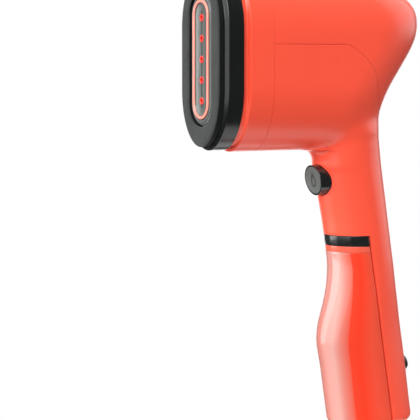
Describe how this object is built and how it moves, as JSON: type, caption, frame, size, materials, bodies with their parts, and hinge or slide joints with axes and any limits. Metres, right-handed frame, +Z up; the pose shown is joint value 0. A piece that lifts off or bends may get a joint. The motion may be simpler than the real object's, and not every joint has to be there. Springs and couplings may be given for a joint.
{
  "type": "garment steamer",
  "caption": "Upright handheld garment steamer with a tall steam head, fabric pad that clips on, thumb trigger and a slide-off clear water tank in its grip.",
  "frame": {"origin": "centre of the grip, between the trigger and the tank's collar", "axes": "+Z up along the upright tool, -X out of the steam face, +Y to its left side"},
  "size_m": [0.1364, 0.0486, 0.2542],
  "materials": {
    "coral_shell": "gloss",
    "coral_cap": "gloss",
    "gloss_black": "gloss",
    "matte_black": "matte",
    "pad_pile": "short pile",
    "plate_grey": "satin",
    "cap_grey": "satin",
    "trim_coral": "gloss",
    "nozzle_red": "satin",
    "red_silicone": "matte",
    "cast_aluminium": "cast",
    "element_steel": "brushed",
    "brass": "satin",
    "white_plastic": "matte",
    "board_green": "satin",
    "copper_coil": "enamelled",
    "black_rubber": "matte",
    "clear_silicone": "satin",
    "tank_clear": "clear tint",
    "wire_blue": "satin",
    "wire_red": "satin"
  },
  "bodies": {
    "housing": {"front_collar": "coral_shell", "rear_cover": "coral_shell", "body_left": "coral_shell", "body_right": "coral_shell", "spine_wall": "coral_shell", "base_cap": "coral_shell", "bezel": "gloss_black", "steam_plate": "plate_grey", "plate_trim": "trim_coral", "steam_nozzles": "nozzle_red", "plate_gasket": "red_silicone", "heater_block": "cast_aluminium", "heating_element": "element_steel", "heater_cover": "element_steel", "heater_screws": "element_steel", "water_inlet": "brass", "heater_carrier": "matte_black", "thermostat": "white_plastic", "thermal_fuse": "white_plastic", "control_board": "board_green", "board_posts": "white_plastic", "board_parts": "matte_black", "pump_body": "white_plastic", "pump_coil": "copper_coil", "pump_rubber": "black_rubber", "inlet_hose": "clear_silicone", "outlet_hose": "clear_silicone", "trigger_guide": "matte_black", "trigger_spring": "element_steel", "trigger_switch": "matte_black", "tank_dock": "gloss_black", "dock_seal": "black_rubber", "power_guide": "matte_black", "power_spring": "element_steel", "power_switch": "matte_black", "cord_gland": "black_rubber", "cord_clamp": "matte_black", "terminal_block": "white_plastic", "mains_wires": "wire_blue", "heater_wires": "wire_red", "case_screws": "element_steel"},
    "pad": {"pad_frame": "matte_black", "pad_fabric": "pad_pile"},
    "trigger": {"trigger_button": "gloss_black", "trigger_cap": "cap_grey", "trigger_mark": "matte_black"},
    "power_key": {"power_button": "gloss_black"},
    "tank": {"tank_cap": "coral_cap", "tank_body": "tank_clear", "tank_valve": "white_plastic"},
    "plug": {"tank_plug": "coral_shell"}
  },
  "joints": [
    {"name": "trigger_press", "type": "slide", "parent": "housing", "child": "trigger", "axis": [1, 0, 0], "range_m": [0, 0.0025], "stiffness_N_per_m": 900, "springref_m": -0.002, "deforming": ["trigger_spring"]},
    {"name": "power_press", "type": "slide", "parent": "housing", "child": "power_key", "axis": [-0.9876, 0, -0.157], "range_m": [0, 0.0015], "stiffness_N_per_m": 1200, "springref_m": -0.001, "deforming": ["power_spring"]},
    {"name": "tank_slide", "type": "slide", "parent": "housing", "child": "tank", "axis": [0.157, 0, -0.9876], "range_m": [0, 0.12]},
    {"name": "plug_hinge", "type": "hinge", "parent": "tank", "child": "plug", "pos_m": [0.0096, 0, -0.1183], "axis": [0, -1, 0], "range_deg": [0, 100]},
    {"name": "pad_pull", "type": "slide", "parent": "housing", "child": "pad", "axis": [-1, 0, 0], "range_m": [0, 0.03]}
  ]
}
